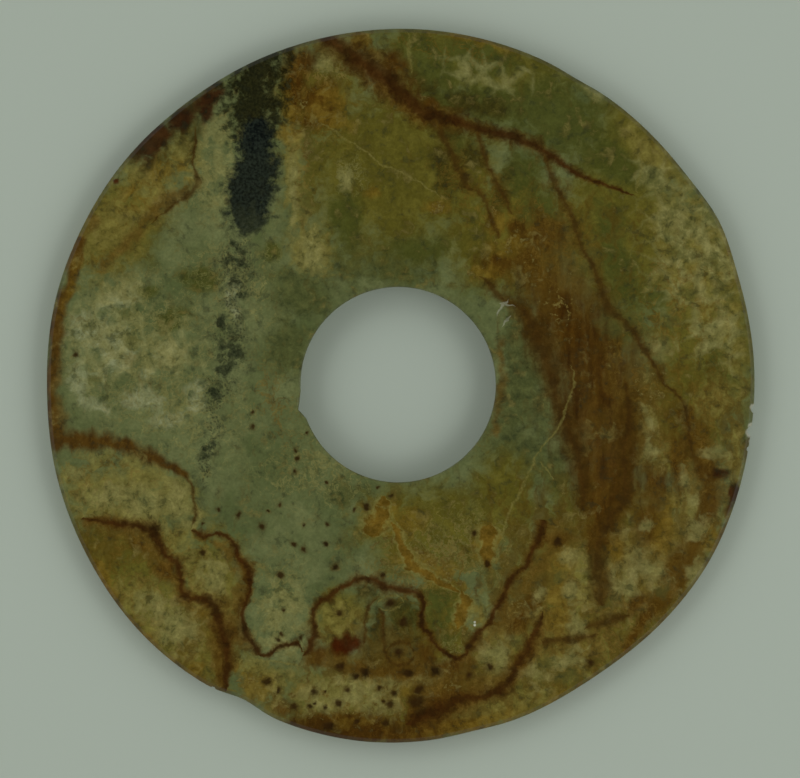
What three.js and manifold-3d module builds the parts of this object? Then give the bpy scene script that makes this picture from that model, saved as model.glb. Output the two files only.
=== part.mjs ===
// An ancient jade bi: a thin, flat disc of mottled nephrite with a round hole bored through its middle.
// It lies flat on its underside. Millimetres, +Z up, origin under the middle of the disc, at its lowest point.

import * as THREE from "three";
import { mergeVertices } from "three/addons/utils/BufferGeometryUtils.js";
import Module from "manifold-3d";

// The disc. The upper face is gently domed, so the stone is thickest round the bore.
const DISC_RADIUS = 90;
const THICKNESS_AT_BORE = 7;
const THICKNESS_AT_RIM = 5.2;

// The bore was drilled from the underside with a tube, so it narrows upwards.
// It also sits a little off the middle of the disc.
const BORE_RADIUS = 24.6;
const BORE_DRAFT = 1;
const BORE_OFFSET_X = -0.37;
const BORE_OFFSET_Y = 0.11;

// Worn edges.
const RIM_UPPER_ROUND = 1.9;
const RIM_LOWER_ROUND = 1.3;
const BORE_UPPER_ROUND = 0.5;
const BORE_LOWER_ROUND = 0.8;

// Where the hand-ground rim stands proud of a true circle or falls short of it: each swell has
// its direction and half width in degrees, anticlockwise from +X, and its height in millimetres.
const RIM_SWELLS = [
  { at: 27, halfWidth: 6.5, height: 1.0 },
  { at: 60, halfWidth: 4, height: -0.4 },
  { at: 86, halfWidth: 16, height: 0.3 },
  { at: 127, halfWidth: 10, height: -0.35 },
  { at: 155, halfWidth: 10, height: -0.2 },
  { at: 181, halfWidth: 11, height: -0.65 },
  { at: 225, halfWidth: 15, height: 0.75 },
  { at: 243.6, halfWidth: 4, height: -1.35 },
  { at: 263, halfWidth: 14, height: 0.75 },
  { at: 282, halfWidth: 5, height: -0.45 },
  { at: 304, halfWidth: 13, height: -1.1 },
  { at: 331, halfWidth: 8, height: 0.3 },
  { at: 352, halfWidth: 7, height: -0.2 },
];

// Small chips out of the rim, on the +X side and at the lower left. Each is as wide along the rim
// and as deep as stated.
const RIM_CHIPS = [
  { at: 356.1, width: 1.9, depth: 0.7 },
  { at: 352.6, width: 2.6, depth: 1.2 },
  { at: 349.6, width: 1.3, depth: 0.5 },
  { at: 238.4, width: 1.2, depth: 0.4 },
];
const CHIP_SCOOP_HEIGHT = 5;

// The lip that broke away when the drilled core was knocked out: the direction where it starts,
// the degrees that it spans, and the share of that span at which it is deepest.
const BREAK_START = 183;
const BREAK_SPAN = 18;
const BREAK_DEEPEST_SHARE = 0.61;
const BREAK_DEPTH = 1.5;

// How finely the faces are divided.
const SEGMENTS_ROUND = 150;
const UPPER_FACE_STEPS = 6;
const ROUND_STEPS = 3;

const wasm = await Module();
wasm.setup();

const radians = THREE.MathUtils.degToRad;

// Height of the upper face, where share is 0 at the bore and 1 at the rim.
function upperFaceHeight(share) {
  return THREE.MathUtils.lerp(THICKNESS_AT_BORE, THICKNESS_AT_RIM, share * share);
}

// How far the rim stands from the true circle in a direction.
function rimSwell(direction) {
  let height = 0;
  for (const swell of RIM_SWELLS) {
    const turned = THREE.MathUtils.euclideanModulo(direction - swell.at + 180, 360) - 180;
    height += swell.height * Math.exp(-((turned / swell.halfWidth) ** 2));
  }
  return height;
}

// The section of the disc, from the underside out, round the rim, over the upper face and down the bore.
function discSection() {
  const lowerBoreRadius = BORE_RADIUS + BORE_DRAFT;
  const upperFaceInside = BORE_RADIUS + BORE_UPPER_ROUND;
  const upperFaceOutside = DISC_RADIUS - RIM_UPPER_ROUND;
  const section = new THREE.Path();
  section.moveTo(lowerBoreRadius + BORE_LOWER_ROUND, 0);
  section.lineTo(DISC_RADIUS - RIM_LOWER_ROUND, 0);
  section.quadraticCurveTo(DISC_RADIUS, 0, DISC_RADIUS, RIM_LOWER_ROUND);
  section.lineTo(DISC_RADIUS, THICKNESS_AT_RIM - RIM_UPPER_ROUND);
  section.quadraticCurveTo(DISC_RADIUS, THICKNESS_AT_RIM, upperFaceOutside, THICKNESS_AT_RIM);
  for (let step = 1; step <= UPPER_FACE_STEPS; step++) {
    const share = 1 - step / UPPER_FACE_STEPS;
    section.lineTo(
      THREE.MathUtils.lerp(upperFaceInside, upperFaceOutside, share),
      upperFaceHeight(share),
    );
  }
  section.quadraticCurveTo(
    BORE_RADIUS,
    THICKNESS_AT_BORE,
    BORE_RADIUS,
    THICKNESS_AT_BORE - BORE_UPPER_ROUND,
  );
  section.lineTo(lowerBoreRadius, BORE_LOWER_ROUND);
  section.quadraticCurveTo(lowerBoreRadius, 0, lowerBoreRadius + BORE_LOWER_ROUND, 0);
  return section.getPoints(ROUND_STEPS);
}

// Moves each point of the turned disc to the rim's own outline and the bore's own place.
function handShape(geometry) {
  const position = geometry.getAttribute("position");
  for (let i = 0; i < position.count; i++) {
    const x = position.getX(i);
    const y = position.getY(i);
    const radius = Math.hypot(x, y);
    const share = THREE.MathUtils.smoothstep(radius, BORE_RADIUS, DISC_RADIUS);
    const direction = THREE.MathUtils.radToDeg(Math.atan2(y, x));
    const grown = (radius + share * rimSwell(direction)) / radius;
    position.setX(i, x * grown + (1 - share) * BORE_OFFSET_X);
    position.setY(i, y * grown + (1 - share) * BORE_OFFSET_Y);
  }
}

// A closed solid of a geometry whose seams and poles are split.
function solidOf(geometry) {
  geometry.deleteAttribute("normal");
  geometry.deleteAttribute("uv");
  const merged = mergeVertices(geometry, 1e-4);
  return new wasm.Manifold(
    new wasm.Mesh({
      numProp: 3,
      vertProperties: merged.getAttribute("position").array,
      triVerts: new Uint32Array(merged.index.array),
    }),
  );
}

// The geometry of a solid, to show and export.
function geometryOf(solid) {
  const { vertProperties, triVerts } = solid.getMesh();
  const geometry = new THREE.BufferGeometry();
  geometry.setAttribute("position", new THREE.BufferAttribute(new Float32Array(vertProperties), 3));
  geometry.setIndex(new THREE.BufferAttribute(new Uint32Array(triVerts), 1));
  geometry.computeVertexNormals();
  return geometry;
}

function discBlank() {
  const geometry = new THREE.LatheGeometry(discSection(), SEGMENTS_ROUND);
  geometry.rotateX(Math.PI / 2);
  handShape(geometry);
  return solidOf(geometry);
}

// The scoop that takes one chip out of the rim.
function chipScoop({ at, width, depth }) {
  const scoop = new THREE.IcosahedronGeometry(1, 1);
  const outline = DISC_RADIUS + rimSwell(at);
  scoop.scale(depth, width / 2, CHIP_SCOOP_HEIGHT);
  scoop.translate(outline, 0, THICKNESS_AT_RIM / 2);
  scoop.rotateZ(radians(at));
  return solidOf(scoop);
}

// The three-cornered piece that broke away from the bore's edge, right through the stone.
function boreBreak() {
  const corner = (direction, radius) =>
    new THREE.Vector2(
      BORE_OFFSET_X + radius * Math.cos(radians(direction)),
      BORE_OFFSET_Y + radius * Math.sin(radians(direction)),
    );
  const inside = BORE_RADIUS - BREAK_DEPTH;
  const deepest = BREAK_START + BREAK_SPAN * BREAK_DEEPEST_SHARE;
  const end = BREAK_START + BREAK_SPAN;
  const piece = new THREE.ExtrudeGeometry(
    new THREE.Shape([
      corner(BREAK_START, inside),
      corner(BREAK_START, BORE_RADIUS),
      corner(deepest, BORE_RADIUS + BREAK_DEPTH),
      corner(end, BORE_RADIUS),
      corner(end, inside),
    ]),
    { depth: THICKNESS_AT_BORE * 2, bevelEnabled: false },
  );
  piece.translate(0, 0, -THICKNESS_AT_BORE / 2);
  return solidOf(piece);
}

function jadeDisc() {
  let stone = discBlank();
  for (const chip of RIM_CHIPS) {
    stone = stone.subtract(chipScoop(chip));
  }
  stone = stone.subtract(boreBreak());
  const material = new THREE.MeshStandardMaterial({
    color: "#5f5f3a",
    roughness: 0.45,
    metalness: 0,
  });
  const mesh = new THREE.Mesh(geometryOf(stone), material);
  mesh.name = "jade_disc";
  return mesh;
}

const bi = new THREE.Group();
bi.add(jadeDisc());

export default bi;
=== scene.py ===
# An ancient jade bi that lies flat, seen from straight above: a worn disc of mottled nephrite,
# olive and grey-green, with russet skin, brown veins and a streak of black mineral. Metres, +Z up.

import math

import bmesh
import bpy
from mathutils import Matrix, Vector, kdtree, noise


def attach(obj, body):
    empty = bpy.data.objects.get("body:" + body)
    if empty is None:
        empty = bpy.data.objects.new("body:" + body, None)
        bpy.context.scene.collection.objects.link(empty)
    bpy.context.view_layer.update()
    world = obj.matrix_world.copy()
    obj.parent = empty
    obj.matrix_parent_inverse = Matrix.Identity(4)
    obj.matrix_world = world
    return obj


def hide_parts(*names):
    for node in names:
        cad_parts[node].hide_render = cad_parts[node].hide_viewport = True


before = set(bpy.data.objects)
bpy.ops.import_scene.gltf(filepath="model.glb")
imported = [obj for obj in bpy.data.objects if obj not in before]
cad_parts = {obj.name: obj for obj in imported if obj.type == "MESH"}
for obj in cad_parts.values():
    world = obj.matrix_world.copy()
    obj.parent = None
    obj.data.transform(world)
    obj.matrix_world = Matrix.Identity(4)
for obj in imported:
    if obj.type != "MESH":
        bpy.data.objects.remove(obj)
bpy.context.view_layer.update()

MM = 0.001

# The disc. The upper face is gently domed, so the stone is thickest round the bore.
DISC_RADIUS = 90 * MM
THICKNESS_AT_BORE = 7 * MM
THICKNESS_AT_RIM = 5.2 * MM

# The bore narrows upwards and sits a little off the middle of the disc.
BORE_RADIUS = 24.6 * MM
BORE_DRAFT = 1 * MM
BORE_OFFSET = Vector((-0.37, 0.11)) * MM

# Worn edges.
RIM_UPPER_ROUND = 1.3 * MM
RIM_LOWER_ROUND = 1.3 * MM
BORE_UPPER_ROUND = 0.5 * MM
BORE_LOWER_ROUND = 0.8 * MM
ROUND_STEPS = 6

# The rim is turned finer than the solid's, whose flats cut inside the curve, so it is drawn in a little.
RIM_DRAWN_IN = 0.035 * MM

# Where the hand-ground rim stands proud of a true circle or falls short of it: direction and half
# width in degrees, anticlockwise from +X, and height in millimetres.
RIM_SWELLS = (
    (27, 6.5, 1.0), (60, 4, -0.4), (86, 16, 0.3), (127, 10, -0.35), (155, 10, -0.2),
    (181, 11, -0.65), (225, 15, 0.75), (243.6, 4, -1.35), (263, 14, 0.75), (282, 5, -0.45),
    (304, 13, -1.1), (331, 8, 0.3), (352, 7, -0.2),
)

# Chips out of the rim: direction in degrees, width along the rim and depth in millimetres.
RIM_CHIPS = ((356.1, 1.9, 0.7), (352.6, 2.6, 1.2), (349.6, 1.3, 0.5), (238.4, 1.2, 0.4))
CHIP_SCOOP_HEIGHT = 5 * MM

# The lip that broke away from the bore: where it starts, is deepest and ends, in degrees.
BREAK_DIRECTIONS = (183, 194, 201)
BREAK_DEPTH = 1.5 * MM

# How finely the disc is turned: up to each direction, in steps of so many degrees. The steps are
# small where the rim is chipped and where the bore is broken.
TURNS = (
    (60, 0.75), (120, 0.75), (180, 0.75), (204, 0.4), (236, 0.75), (241, 0.2), (290, 0.75), (345, 0.75),
    (352, 0.14), (359, 0.14), (360, 1),
)

# How wide the rings are that the faces are divided into. A shorter edge of the section is left whole.
FACE_RING = 1.0 * MM
UNDERSIDE_RING = 3.2 * MM
BORE_RING = 0.3 * MM
LEFT_WHOLE = 2 * MM

# Points this near each other are one: where two sectors meet, and in the finished disc.
SEAM = 0.001 * MM
SAME_POINT = 0.01 * MM

# The break takes only points this near the bore, as a share of the way to the rim.
BREAK_REACH = 0.1

# Traces of the making. The tube drill left fine rings in the bore, which fade towards the upper face,
# the saw a low step across the underside, and hand polishing a face that is never quite flat.
DRILL_RING_SPACING = 0.9 * MM
DRILL_RING_DEPTH = 0.05 * MM
DRILL_RINGS_FADE = 1.5 * MM
SAW_STEP_DEPTH = 0.15 * MM
SAW_STEP_PLACE = 18 * MM
SAW_STEP_TURN = math.radians(24)
SAW_STEP_WIDTH = 2.5 * MM
POLISH_WAVE = 17 * MM
POLISH_DEPTH = 0.05 * MM


def smoothstep(value, low, high):
    share = min(max((value - low) / (high - low), 0), 1)
    return share * share * (3 - 2 * share)


def rim_swell(direction):
    """How far the rim stands from the true circle in a direction, in metres."""
    height = 0
    for at, half_width, swell in RIM_SWELLS:
        turned = (direction - at + 180) % 360 - 180
        height += swell * math.exp(-((turned / half_width) ** 2))
    return height * MM


def upper_face_height(radius):
    inside = BORE_RADIUS + BORE_UPPER_ROUND
    outside = DISC_RADIUS - RIM_UPPER_ROUND
    share = (radius - inside) / (outside - inside)
    return THICKNESS_AT_BORE + (THICKNESS_AT_RIM - THICKNESS_AT_BORE) * share * share


def disc_section(bm):
    """The outline of the disc's section, with its edges worn round and its faces divided into rings."""
    corners = (
        (BORE_RADIUS + BORE_DRAFT, 0, BORE_LOWER_ROUND),
        (DISC_RADIUS, 0, RIM_LOWER_ROUND),
        (DISC_RADIUS, THICKNESS_AT_RIM, RIM_UPPER_ROUND),
        (BORE_RADIUS, THICKNESS_AT_BORE, BORE_UPPER_ROUND),
    )
    verts = [bm.verts.new((radius, 0, height)) for radius, height, _ in corners]
    bm.faces.new(verts)
    for vert, (_, _, worn) in zip(verts, corners):
        bmesh.ops.bevel(bm, geom=[vert], offset=worn, offset_type="OFFSET", segments=ROUND_STEPS,
                        profile=0.5, affect="VERTICES", material=-1)
    bmesh.ops.delete(bm, geom=bm.faces[:], context="FACES_ONLY")
    for edge in [edge for edge in bm.edges if edge.calc_length() > LEFT_WHOLE]:
        middle = (edge.verts[0].co + edge.verts[1].co) / 2
        if middle.x < BORE_RADIUS + BORE_DRAFT:
            ring = BORE_RING
        elif middle.z < THICKNESS_AT_RIM / 2:
            ring = UNDERSIDE_RING
        else:
            ring = FACE_RING
        cuts = round(edge.calc_length() / ring) - 1
        bmesh.ops.subdivide_edges(bm, edges=[edge], cuts=cuts)
    inside = BORE_RADIUS + BORE_UPPER_ROUND
    outside = DISC_RADIUS - RIM_UPPER_ROUND
    for vert in bm.verts:
        if inside <= vert.co.x <= outside and vert.co.z > THICKNESS_AT_RIM / 2:
            vert.co.z = upper_face_height(vert.co.x)


def turned_disc():
    """The disc as if turned on a lathe, one sector after another, before the hand shapes it."""
    disc = bmesh.new()
    start = 0
    for end, step in TURNS:
        sector = bmesh.new()
        disc_section(sector)
        bmesh.ops.rotate(sector, verts=sector.verts[:], cent=(0, 0, 0),
                         matrix=Matrix.Rotation(math.radians(start), 3, "Z"))
        bmesh.ops.spin(
            sector, geom=sector.verts[:] + sector.edges[:], cent=(0, 0, 0), axis=(0, 0, 1),
            dvec=(0, 0, 0), angle=math.radians(end - start), space=Matrix.Identity(4),
            steps=round((end - start) / step), use_merge=False, use_duplicate=False,
        )
        turned = bpy.data.meshes.new("sector")
        sector.to_mesh(turned)
        sector.free()
        disc.from_mesh(turned)
        bpy.data.meshes.remove(turned)
        start = end
    bmesh.ops.remove_doubles(disc, verts=disc.verts[:], dist=SEAM)
    return disc


def break_reach(direction):
    """How far the broken lip of the bore goes in a direction from the bore's middle."""
    reaches = (BORE_RADIUS, BORE_RADIUS + BREAK_DEPTH, BORE_RADIUS)
    corners = [
        reach * Vector((math.cos(math.radians(at)), math.sin(math.radians(at))))
        for at, reach in zip(BREAK_DIRECTIONS, reaches)
    ]
    if not BREAK_DIRECTIONS[0] < direction < BREAK_DIRECTIONS[2]:
        return 0
    first = 0 if direction < BREAK_DIRECTIONS[1] else 1
    start, edge = corners[first], corners[first + 1] - corners[first]
    ray = Vector((math.cos(math.radians(direction)), math.sin(math.radians(direction))))
    return edge.cross(start) / edge.cross(ray)


def chip_reach(direction, height, outline):
    """How far out the stone still goes in a direction where the rim is chipped."""
    reach = outline
    for at, width, depth in RIM_CHIPS:
        across = math.radians(direction - at) * outline / (width * MM / 2)
        up = (height - THICKNESS_AT_RIM / 2) / CHIP_SCOOP_HEIGHT
        inside = 1 - across * across - up * up
        if abs(across) < 1 and inside > 0:
            reach = min(reach, outline - depth * MM * math.sqrt(inside))
    return reach


def hand_shape(point):
    """Moves a point of the turned disc to the hand-ground outline, the bore's place and the damage."""
    direction = math.degrees(math.atan2(point.y, point.x)) % 360
    radius = math.hypot(point.x, point.y)
    share = smoothstep(radius, BORE_RADIUS, DISC_RADIUS)
    if point.z > BORE_LOWER_ROUND and radius < BORE_RADIUS + BORE_DRAFT:
        depth = DRILL_RING_DEPTH * smoothstep(THICKNESS_AT_BORE - point.z, BORE_UPPER_ROUND, DRILL_RINGS_FADE)
        radius += depth * math.sin(math.tau * point.z / DRILL_RING_SPACING)
    swell = rim_swell(direction)
    radius = min(radius + share * swell, chip_reach(direction, point.z, DISC_RADIUS + swell))
    radius -= share * RIM_DRAWN_IN
    ray = Vector((math.cos(math.radians(direction)), math.sin(math.radians(direction))))
    if share < BREAK_REACH:
        radius = max(radius, break_reach(direction))
    flat = ray * radius + (1 - share) * BORE_OFFSET
    return Vector((flat.x, flat.y, point.z))


def hand_finish(point):
    """Adds the low relief that sawing and polishing left, always inwards."""
    wave = 0.5 + 0.5 * noise.noise(point / POLISH_WAVE)
    if point.z > THICKNESS_AT_RIM / 2:
        share = smoothstep(point.z, THICKNESS_AT_RIM / 2, THICKNESS_AT_RIM)
        point.z -= share * POLISH_DEPTH * wave
    else:
        across = point.x * math.cos(SAW_STEP_TURN) + point.y * math.sin(SAW_STEP_TURN)
        step = smoothstep(across - SAW_STEP_PLACE, 0, SAW_STEP_WIDTH)
        share = 1 - smoothstep(point.z, 0, RIM_LOWER_ROUND)
        point.z += share * (SAW_STEP_DEPTH * step + POLISH_DEPTH * wave)
    return point


def jade_disc():
    bm = turned_disc()
    for vert in bm.verts:
        vert.co = hand_finish(hand_shape(vert.co))
    bmesh.ops.remove_doubles(bm, verts=bm.verts[:], dist=SAME_POINT)
    bmesh.ops.recalc_face_normals(bm, faces=bm.faces[:])
    for face in bm.faces:
        face.smooth = True
    mesh = bpy.data.meshes.new("jade_bi")
    bm.to_mesh(mesh)
    bm.free()
    mark_stone(mesh)
    disc = bpy.data.objects.new("jade_bi", mesh)
    bpy.context.scene.collection.objects.link(disc)
    return disc


# The photograph's scale and the pixel that shows the middle of the disc.
PIXEL = DISC_RADIUS / 355
MIDDLE_PIXEL = (399.08, 384.59)

# The stone's markings, by pixels of the photograph. A band is a path of points, each with half its
# width there. A patch is an oval: its middle, its two radii and, if it has one, its turn anticlockwise.

VEINS = {
    "main vein from the upper rim": [
        (316, 33, 7), (330, 41, 9), (345, 50, 10), (358, 60, 10), (370, 69, 10), (386, 80, 10),
        (400, 92, 10), (413, 104, 9), (424, 113, 8), (434, 117, 7), (446, 119, 7), (460, 122, 7),
        (475, 127, 5), (490, 131, 4.5), (512, 138, 4.5), (525, 143, 5), (537, 148, 4.5), (560, 163, 3.2),
        (580, 175, 2.4), (604, 186, 1.6), (620, 190, 1.2), (635, 196, 0.8)],
    "round the lower left skin": [
        (80, 519, 2), (92, 520, 4), (112, 521, 5), (130, 524, 5), (143, 526, 5), (151, 529, 4.5),
        (157, 538, 4), (161, 546, 4), (166, 553, 4), (172, 558, 4), (178, 563, 4), (180, 572, 4),
        (181, 582, 4), (184, 592, 5), (190, 597, 6), (199, 597, 6), (207, 599, 6), (213, 604, 6),
        (216, 613, 6), (221, 625, 6.5), (225, 637, 7), (227, 650, 7.5), (227, 662, 7), (227, 672, 6.5),
        (226, 682, 5), (225, 690, 3)],
    "loop at the lower left": [
        (190, 529, 2), (197, 531, 3), (203, 535, 3.5), (209, 536, 3.5), (215, 534, 3), (222, 534, 2.5),
        (228, 537, 2.5), (233, 543, 2.5), (237, 551, 3), (241, 558, 3), (245, 563, 3), (248, 570, 3),
        (250, 578, 3), (250, 586, 2.5), (248, 595, 2.5), (246, 603, 2.5), (244, 612, 2.5), (243, 620, 2.5),
        (244, 628, 3), (246, 636, 3.5), (250, 642, 3), (254, 648, 3), (259, 654, 2.5), (266, 655, 2),
        (272, 652, 3), (276, 646, 2), (283, 643, 2), (290, 642, 2), (296, 641, 2), (300, 646, 2),
        (304, 650, 2)],
    "arch below the bore": [
        (303, 655, 3), (310, 645, 4), (314, 635, 5), (314, 625, 5), (313, 615, 3.5), (316, 605, 3),
        (322, 600, 2.5), (330, 596, 3), (336, 590, 3), (343, 586, 2.5), (350, 582, 3), (358, 578, 3.5),
        (366, 577, 4), (373, 578, 4), (380, 583, 4), (388, 586, 4.5), (397, 588, 4.5), (406, 589, 4),
        (414, 591, 3.5), (420, 596, 3.5), (423, 603, 3), (421, 610, 2.5), (420, 618, 2.5), (422, 626, 2.5),
        (427, 633, 2.5), (431, 639, 2.5), (436, 645, 2), (442, 650, 2), (448, 655, 2), (455, 658, 2.5),
        (463, 655, 2.5), (470, 649, 2)],
    "lower edge of the brown skin": [
        (543, 518, 4), (540, 530, 5), (536, 543, 4), (530, 555, 3.5), (527, 563, 3), (520, 567, 3),
        (514, 573, 3), (510, 580, 3), (506, 588, 3.5), (502, 596, 3), (497, 604, 3), (493, 612, 3),
        (490, 620, 3), (484, 627, 3), (478, 632, 3), (474, 637, 3), (470, 645, 3), (466, 655, 2)],
    "along the lower rim": [
        (540, 610, 3), (538, 625, 4), (532, 638, 5), (527, 648, 5), (522, 655, 5), (516, 663, 5),
        (512, 672, 5), (508, 682, 5), (500, 688, 5), (490, 692, 5), (480, 695, 6), (470, 696, 6.5),
        (460, 697, 7), (452, 700, 8), (442, 706, 9), (434, 710, 9), (426, 714, 9), (418, 718, 8),
        (406, 724, 4)],
}

SOFT_VEINS = {
    "first branch": [
        (440, 122, 4), (442, 135, 4.5), (448, 145, 4.5), (452, 155, 4), (456, 165, 4.5), (460, 175, 4),
        (466, 185, 4), (475, 190, 3.5), (482, 195, 3), (486, 202, 2.5), (489, 212, 2), (492, 222, 2),
        (496, 231, 3), (500, 238, 3)],
    "second branch": [
        (476, 130, 3), (480, 142, 3), (484, 155, 3), (487, 165, 3.5), (492, 175, 3), (497, 185, 3),
        (503, 196, 3), (507, 205, 2), (511, 214, 2)],
    "third branch": [
        (543, 154, 3), (550, 172, 3), (555, 183, 3), (560, 195, 3), (566, 208, 3), (572, 220, 3),
        (575, 232, 3), (578, 243, 3), (585, 255, 3), (592, 265, 3.5), (596, 275, 3.5), (600, 287, 4),
        (603, 300, 5), (612, 312, 4), (622, 322, 3), (632, 332, 2.5), (638, 340, 2.5), (643, 350, 2.2),
        (648, 358, 2.2), (656, 370, 2), (665, 385, 2), (675, 393, 1.8), (681, 403, 1.5), (684, 414, 2),
        (688, 436, 2), (692, 452, 1)],
    "edge of the brown skin": [
        (478, 275, 2), (490, 286, 4), (500, 297, 4), (510, 304, 4), (520, 309, 5), (529, 319, 6),
        (536, 335, 8), (541, 350, 9), (546, 365, 8), (551, 378, 6), (554, 392, 5), (558, 405, 5),
        (561, 415, 6), (564, 425, 8), (569, 434, 8), (574, 444, 6), (577, 456, 5), (580, 470, 5),
        (582, 484, 5), (582, 498, 4), (579, 510, 3)],
    "column in the brown skin": [
        (624, 378, 3), (627, 400, 4), (628, 420, 4), (626, 440, 4), (623, 455, 4), (624, 475, 5),
        (626, 495, 6), (620, 505, 6), (612, 515, 6), (605, 525, 5), (598, 537, 4), (595, 560, 5),
        (598, 585, 7), (600, 605, 4)],
    "edge of the upper left skin": [
        (197, 124, 1.2), (195, 140, 1.2), (193, 160, 1.2), (197, 175, 2.2), (196, 185, 2.8),
        (190, 193, 2.8), (175, 203, 2.4), (163, 213, 1.6), (150, 225, 1)],
    "streak at the lower right": [
        (584, 628, 2), (595, 624, 4), (605, 621, 4.5), (615, 619, 4), (630, 616, 3)],
    "brown streak low down": [
        (540, 641, 3), (548, 640, 4), (560, 639, 3), (572, 637, 4), (585, 636, 3), (600, 633, 2)],
    "arch, inner left": [
        (379, 594, 1.5), (373, 600, 2), (367, 609, 2), (365, 620, 2), (366, 633, 2), (364, 643, 2.5)],
    "arch, inner right": [
        (377, 605, 1.5), (383, 615, 2), (383.5, 626, 2), (382, 637, 2), (384, 648, 2), (387, 658, 2),
        (394, 664, 2)],
    "ring in the arch, above": [
        (384, 655, 1), (388, 648, 1.8), (396, 642, 2), (405, 641, 2), (412, 646, 1.8), (415, 652, 1)],
    "ring in the arch, below": [
        (386, 654, 1), (394, 664, 2), (402, 664, 2), (409, 659, 1.8), (414, 650, 1)],
    "beside the loop": [(236, 548, 3), (244, 566, 3.5), (248, 584, 3), (242, 602, 4), (238, 620, 3)],
    "link to the lower left loop": [
        (176, 466, 1), (182, 470, 1.4), (188, 478, 1.4), (192, 485, 1.4), (194, 495, 1.4), (195, 508, 1.4),
        (194, 520, 1.4), (189, 528, 1)],
}

HAIRLINES = {
    "pale crack at the top": [
        (318, 126, 1), (332, 130, 1.2), (345, 140, 1.2), (360, 148, 1.2), (372, 158, 1.2), (380, 163, 1.2),
        (395, 170, 1.2), (405, 177, 1.2), (420, 183, 1.2), (430, 190, 1.2), (441, 198, 1)],
    "fibre across the brown skin": [
        (566, 362, 1), (573, 378, 1.4), (572, 390, 1.4), (568, 400, 1.4), (562, 415, 1.4), (558, 425, 1.5),
        (553, 433, 1.5), (545, 442, 1.5), (540, 448, 1.5), (533, 460, 1.5), (527, 472, 1.7),
        (520, 490, 1.8), (513, 503, 1.8), (508, 515, 1.7), (503, 528, 1.5), (496, 547, 1.2)],
    "short fibre beside it": [(538, 461, 0.9), (544, 468, 1), (553, 478, 0.9)],
    "upper right": [(642, 158, 1), (641, 166, 2), (640, 172, 2), (636, 182, 2), (637, 194, 2)],
    "upper rim": [(406, 31, 1.5), (408, 45, 2.5), (410, 60, 2.5), (411, 74, 1.5)],
    "beside the brown skin": [(647, 405, 3), (652, 415, 4), (658, 427, 3)],
    "below the bore": [(374, 504, 1), (382, 507, 1.4), (390, 508, 1.4), (394, 515, 1.4), (398, 525, 1)],
    "at the left": [(110, 437, 0.8), (131, 436, 0.8)],
    "under the loop": [(234, 659, 0.8), (260, 660, 1), (290, 663, 0.9), (303, 665, 0.8)],
    "under the arch": [(342, 662, 0.8), (385, 661, 0.9)],
    "under the bore": [(424, 497, 0.8), (476, 496, 0.9)],
    "over the oval in the arch": [
        (377, 604, 1), (381, 598, 1.6), (388, 595, 1.8), (396, 595, 1.8), (402, 598, 1.6), (404, 603, 1)],
    "under the oval in the arch": [(379, 605, 1), (387, 608, 1.4), (396, 607, 1.4), (403, 603, 1)],
}

# White scratches above the brown skin, and orange flames with a cream edge below the bore.
SCRATCHES = {
    "long": [(497, 318, 0.8), (500, 311, 1.2), (504, 305, 1.2), (509, 299, 0.8)],
    "across": [(499, 304, 0.7), (505, 305, 1), (514, 307, 0.7)],
    "short": [(501, 328, 0.6), (505, 322, 0.8), (509, 315, 0.6)],
}
FLAMES = {
    "below the bore": [
        (384, 494, 2), (383, 502, 6), (381, 511, 9), (378, 519, 12), (374, 527, 12), (370, 536, 5)],
    "trail": [
        (391, 520, 3), (398, 534, 4.5), (401, 546, 5.5), (407, 558, 6), (416, 567, 6), (426, 573, 4.5),
        (436, 580, 4), (448, 586, 3.5), (459, 591, 3.5)],
    "end of the trail": [(459, 588, 3), (464, 600, 6), (463, 612, 8), (459, 622, 6), (457, 629, 2)],
    "right of the trail": [(487, 524, 5), (487, 527, 8), (487, 546, 8), (487, 558, 7), (489, 568, 4)],
}

BROWN_BANDS = {
    "skin right of the bore": [
        (512, 228, 8), (532, 262, 20), (552, 300, 34), (578, 340, 40), (596, 380, 46), (602, 420, 46),
        (606, 460, 36), (606, 500, 30), (600, 548, 14)],
    "left rim": [
        (86, 240, 3), (74, 268, 5), (63, 300, 6), (56, 330, 6), (51, 370, 4), (51, 410, 5), (56, 442, 9)],
    "lower right, along the rim": [
        (688, 410, 7), (699, 440, 10), (708, 480, 10), (706, 515, 10), (688, 560, 11), (660, 605, 9),
        (622, 650, 6)],
    "lower rim": [(300, 728, 6), (340, 732, 11), (380, 734, 12), (420, 732, 11), (470, 720, 5)],
    "band at the left": [(58, 438, 7), (90, 443, 9), (130, 449, 8), (160, 461, 6), (186, 473, 4)],
}
BROWN_PATCHES = {
    "lower left skin": [(140, 544, 11, 7, -20), (164, 566, 11, 8, -35), (110, 592, 5, 12, 30)],
    "upper tangle": [(296, 84, 12, 36), (324, 98, 22, 20), (300, 60, 16, 14), (316, 118, 14, 8)],
    "beside the main vein": [(392, 66, 18, 9, -30), (432, 108, 10, 7, -30)],
    "lower right": [
        (648, 520, 16, 30, 10), (675, 565, 10, 20, -30), (524, 612, 10, 28, -30), (640, 603, 16, 8, 30),
        (556, 538, 16, 9, 10), (676, 460, 10, 34, 5), (606, 520, 12, 30), (652, 484, 13, 24)],
    "bottom": [
        (318, 655, 12, 10), (338, 652, 9, 11), (420, 706, 14, 20, 20), (376, 668, 30, 8),
        (440, 690, 34, 14, 20), (282, 706, 10, 6, -30), (345, 722, 60, 9), (404, 668, 26, 10),
        (424, 650, 16, 14)],
    "top": [(500, 262, 22, 12), (540, 238, 22, 18, 20), (524, 262, 18, 12)],
    "under the arch": [(450, 668, 22, 10)],
}
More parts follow.
